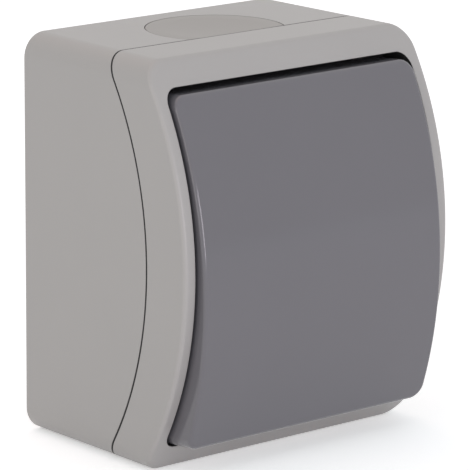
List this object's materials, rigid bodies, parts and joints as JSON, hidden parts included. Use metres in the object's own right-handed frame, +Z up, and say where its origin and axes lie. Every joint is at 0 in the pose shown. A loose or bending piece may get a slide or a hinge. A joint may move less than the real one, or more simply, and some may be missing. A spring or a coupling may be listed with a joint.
{
  "type": "surface mounted light switch",
  "caption": "Surface mounted light switch: arched grey housing with a single dark grey rocker, soft cable entry discs, screw terminals and a tipping contact inside.",
  "frame": {"origin": "centre of the flat back face that lies on the wall", "axes": "+Y points out of the back into the wall, the rocker faces -Y, +X is to the right seen from the room, +Z is up"},
  "size_m": [0.0678, 0.0522, 0.0804],
  "materials": {
    "housing_grey": "fine satin moulded surface",
    "entry_soft_grey": "soft matt moulded surface",
    "rocker_dark_grey": "satin moulded surface",
    "gasket_dark": "matt foam",
    "mechanism_white": "satin moulded surface",
    "cradle_grey": "satin moulded surface",
    "plunger_natural": "smooth moulded surface",
    "contact_brass": "stamped strip",
    "contact_silver": "polished contact face",
    "zinc_steel": "bright zinc plating"
  },
  "bodies": {
    "base": {"back_box": "housing_grey", "front_cover": "housing_grey", "top_entry_disc": "entry_soft_grey", "bottom_entry_disc": "entry_soft_grey", "cover_gasket": "gasket_dark", "mechanism_base": "mechanism_white", "bearing_plate": "mechanism_white", "common_strip": "contact_brass", "load_strip": "contact_brass", "fixed_contact": "contact_silver", "common_terminal": "contact_brass", "load_terminal": "contact_brass", "common_terminal_screw": "zinc_steel", "load_terminal_screw": "zinc_steel", "cover_screw_1": "zinc_steel", "cover_screw_2": "zinc_steel", "cover_screw_3": "zinc_steel", "cover_screw_4": "zinc_steel", "mechanism_screw_1": "zinc_steel", "mechanism_screw_2": "zinc_steel"},
    "rocker": {"rocker_key": "rocker_dark_grey", "rocker_cradle": "cradle_grey", "plunger": "plunger_natural", "plunger_spring": "zinc_steel"},
    "contact": {"contact_rocker": "contact_brass", "moving_contact": "contact_silver"}
  },
  "joints": [
    {"name": "rocker_tilt", "type": "hinge", "parent": "base", "child": "rocker", "pos_m": [0, -0.043, 0], "axis": [1, 0, 0], "range_deg": [0, 8]},
    {"name": "contact_swing", "type": "hinge", "parent": "base", "child": "contact", "pos_m": [0, -0.026, 0], "axis": [1, 0, 0], "range_deg": [-10, 0]}
  ],
  "couplings": [
    {"joint": "contact_swing", "follows": "rocker_tilt", "ratio": -1.25}
  ]
}
